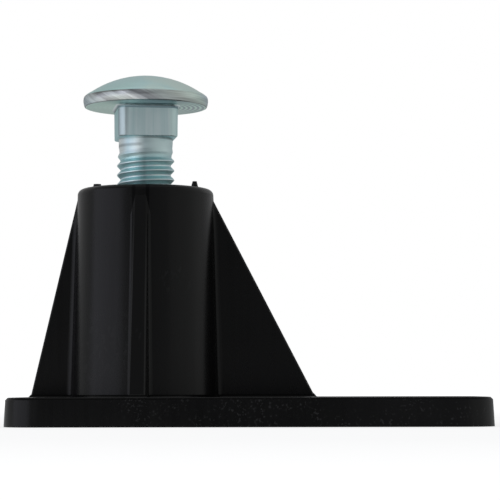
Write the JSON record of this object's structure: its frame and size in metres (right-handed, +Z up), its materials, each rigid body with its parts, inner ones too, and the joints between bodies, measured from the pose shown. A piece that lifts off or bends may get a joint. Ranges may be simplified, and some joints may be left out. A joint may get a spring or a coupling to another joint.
{
  "type": "furnace leveling leg",
  "caption": "Adjustable leveling leg for a furnace: a flat moulded sole with a gusseted boss, and a domed carriage bolt that screws up and down in the boss.",
  "frame": {"origin": "centre of the sole's underside, on the floor", "axes": "+Z up, along the bolt; +X along the sole, from the boss towards the free end; +Y towards the back, away from the picture's camera"},
  "size_m": [0.0778, 0.043, 0.0584],
  "materials": {
    "foot_plastic": "black moulded plastic with a slight sheen",
    "bolt_steel": "bright zinc plate with a cool passivated tint"
  },
  "bodies": {
    "foot": {"foot": "foot_plastic"},
    "bolt": {"carriage_bolt": "bolt_steel"}
  },
  "joints": [
    {"name": "height_screw", "type": "slide", "parent": "foot", "child": "bolt", "axis": [0, 0, 1], "range_m": [-0.0055, 0.016]}
  ]
}
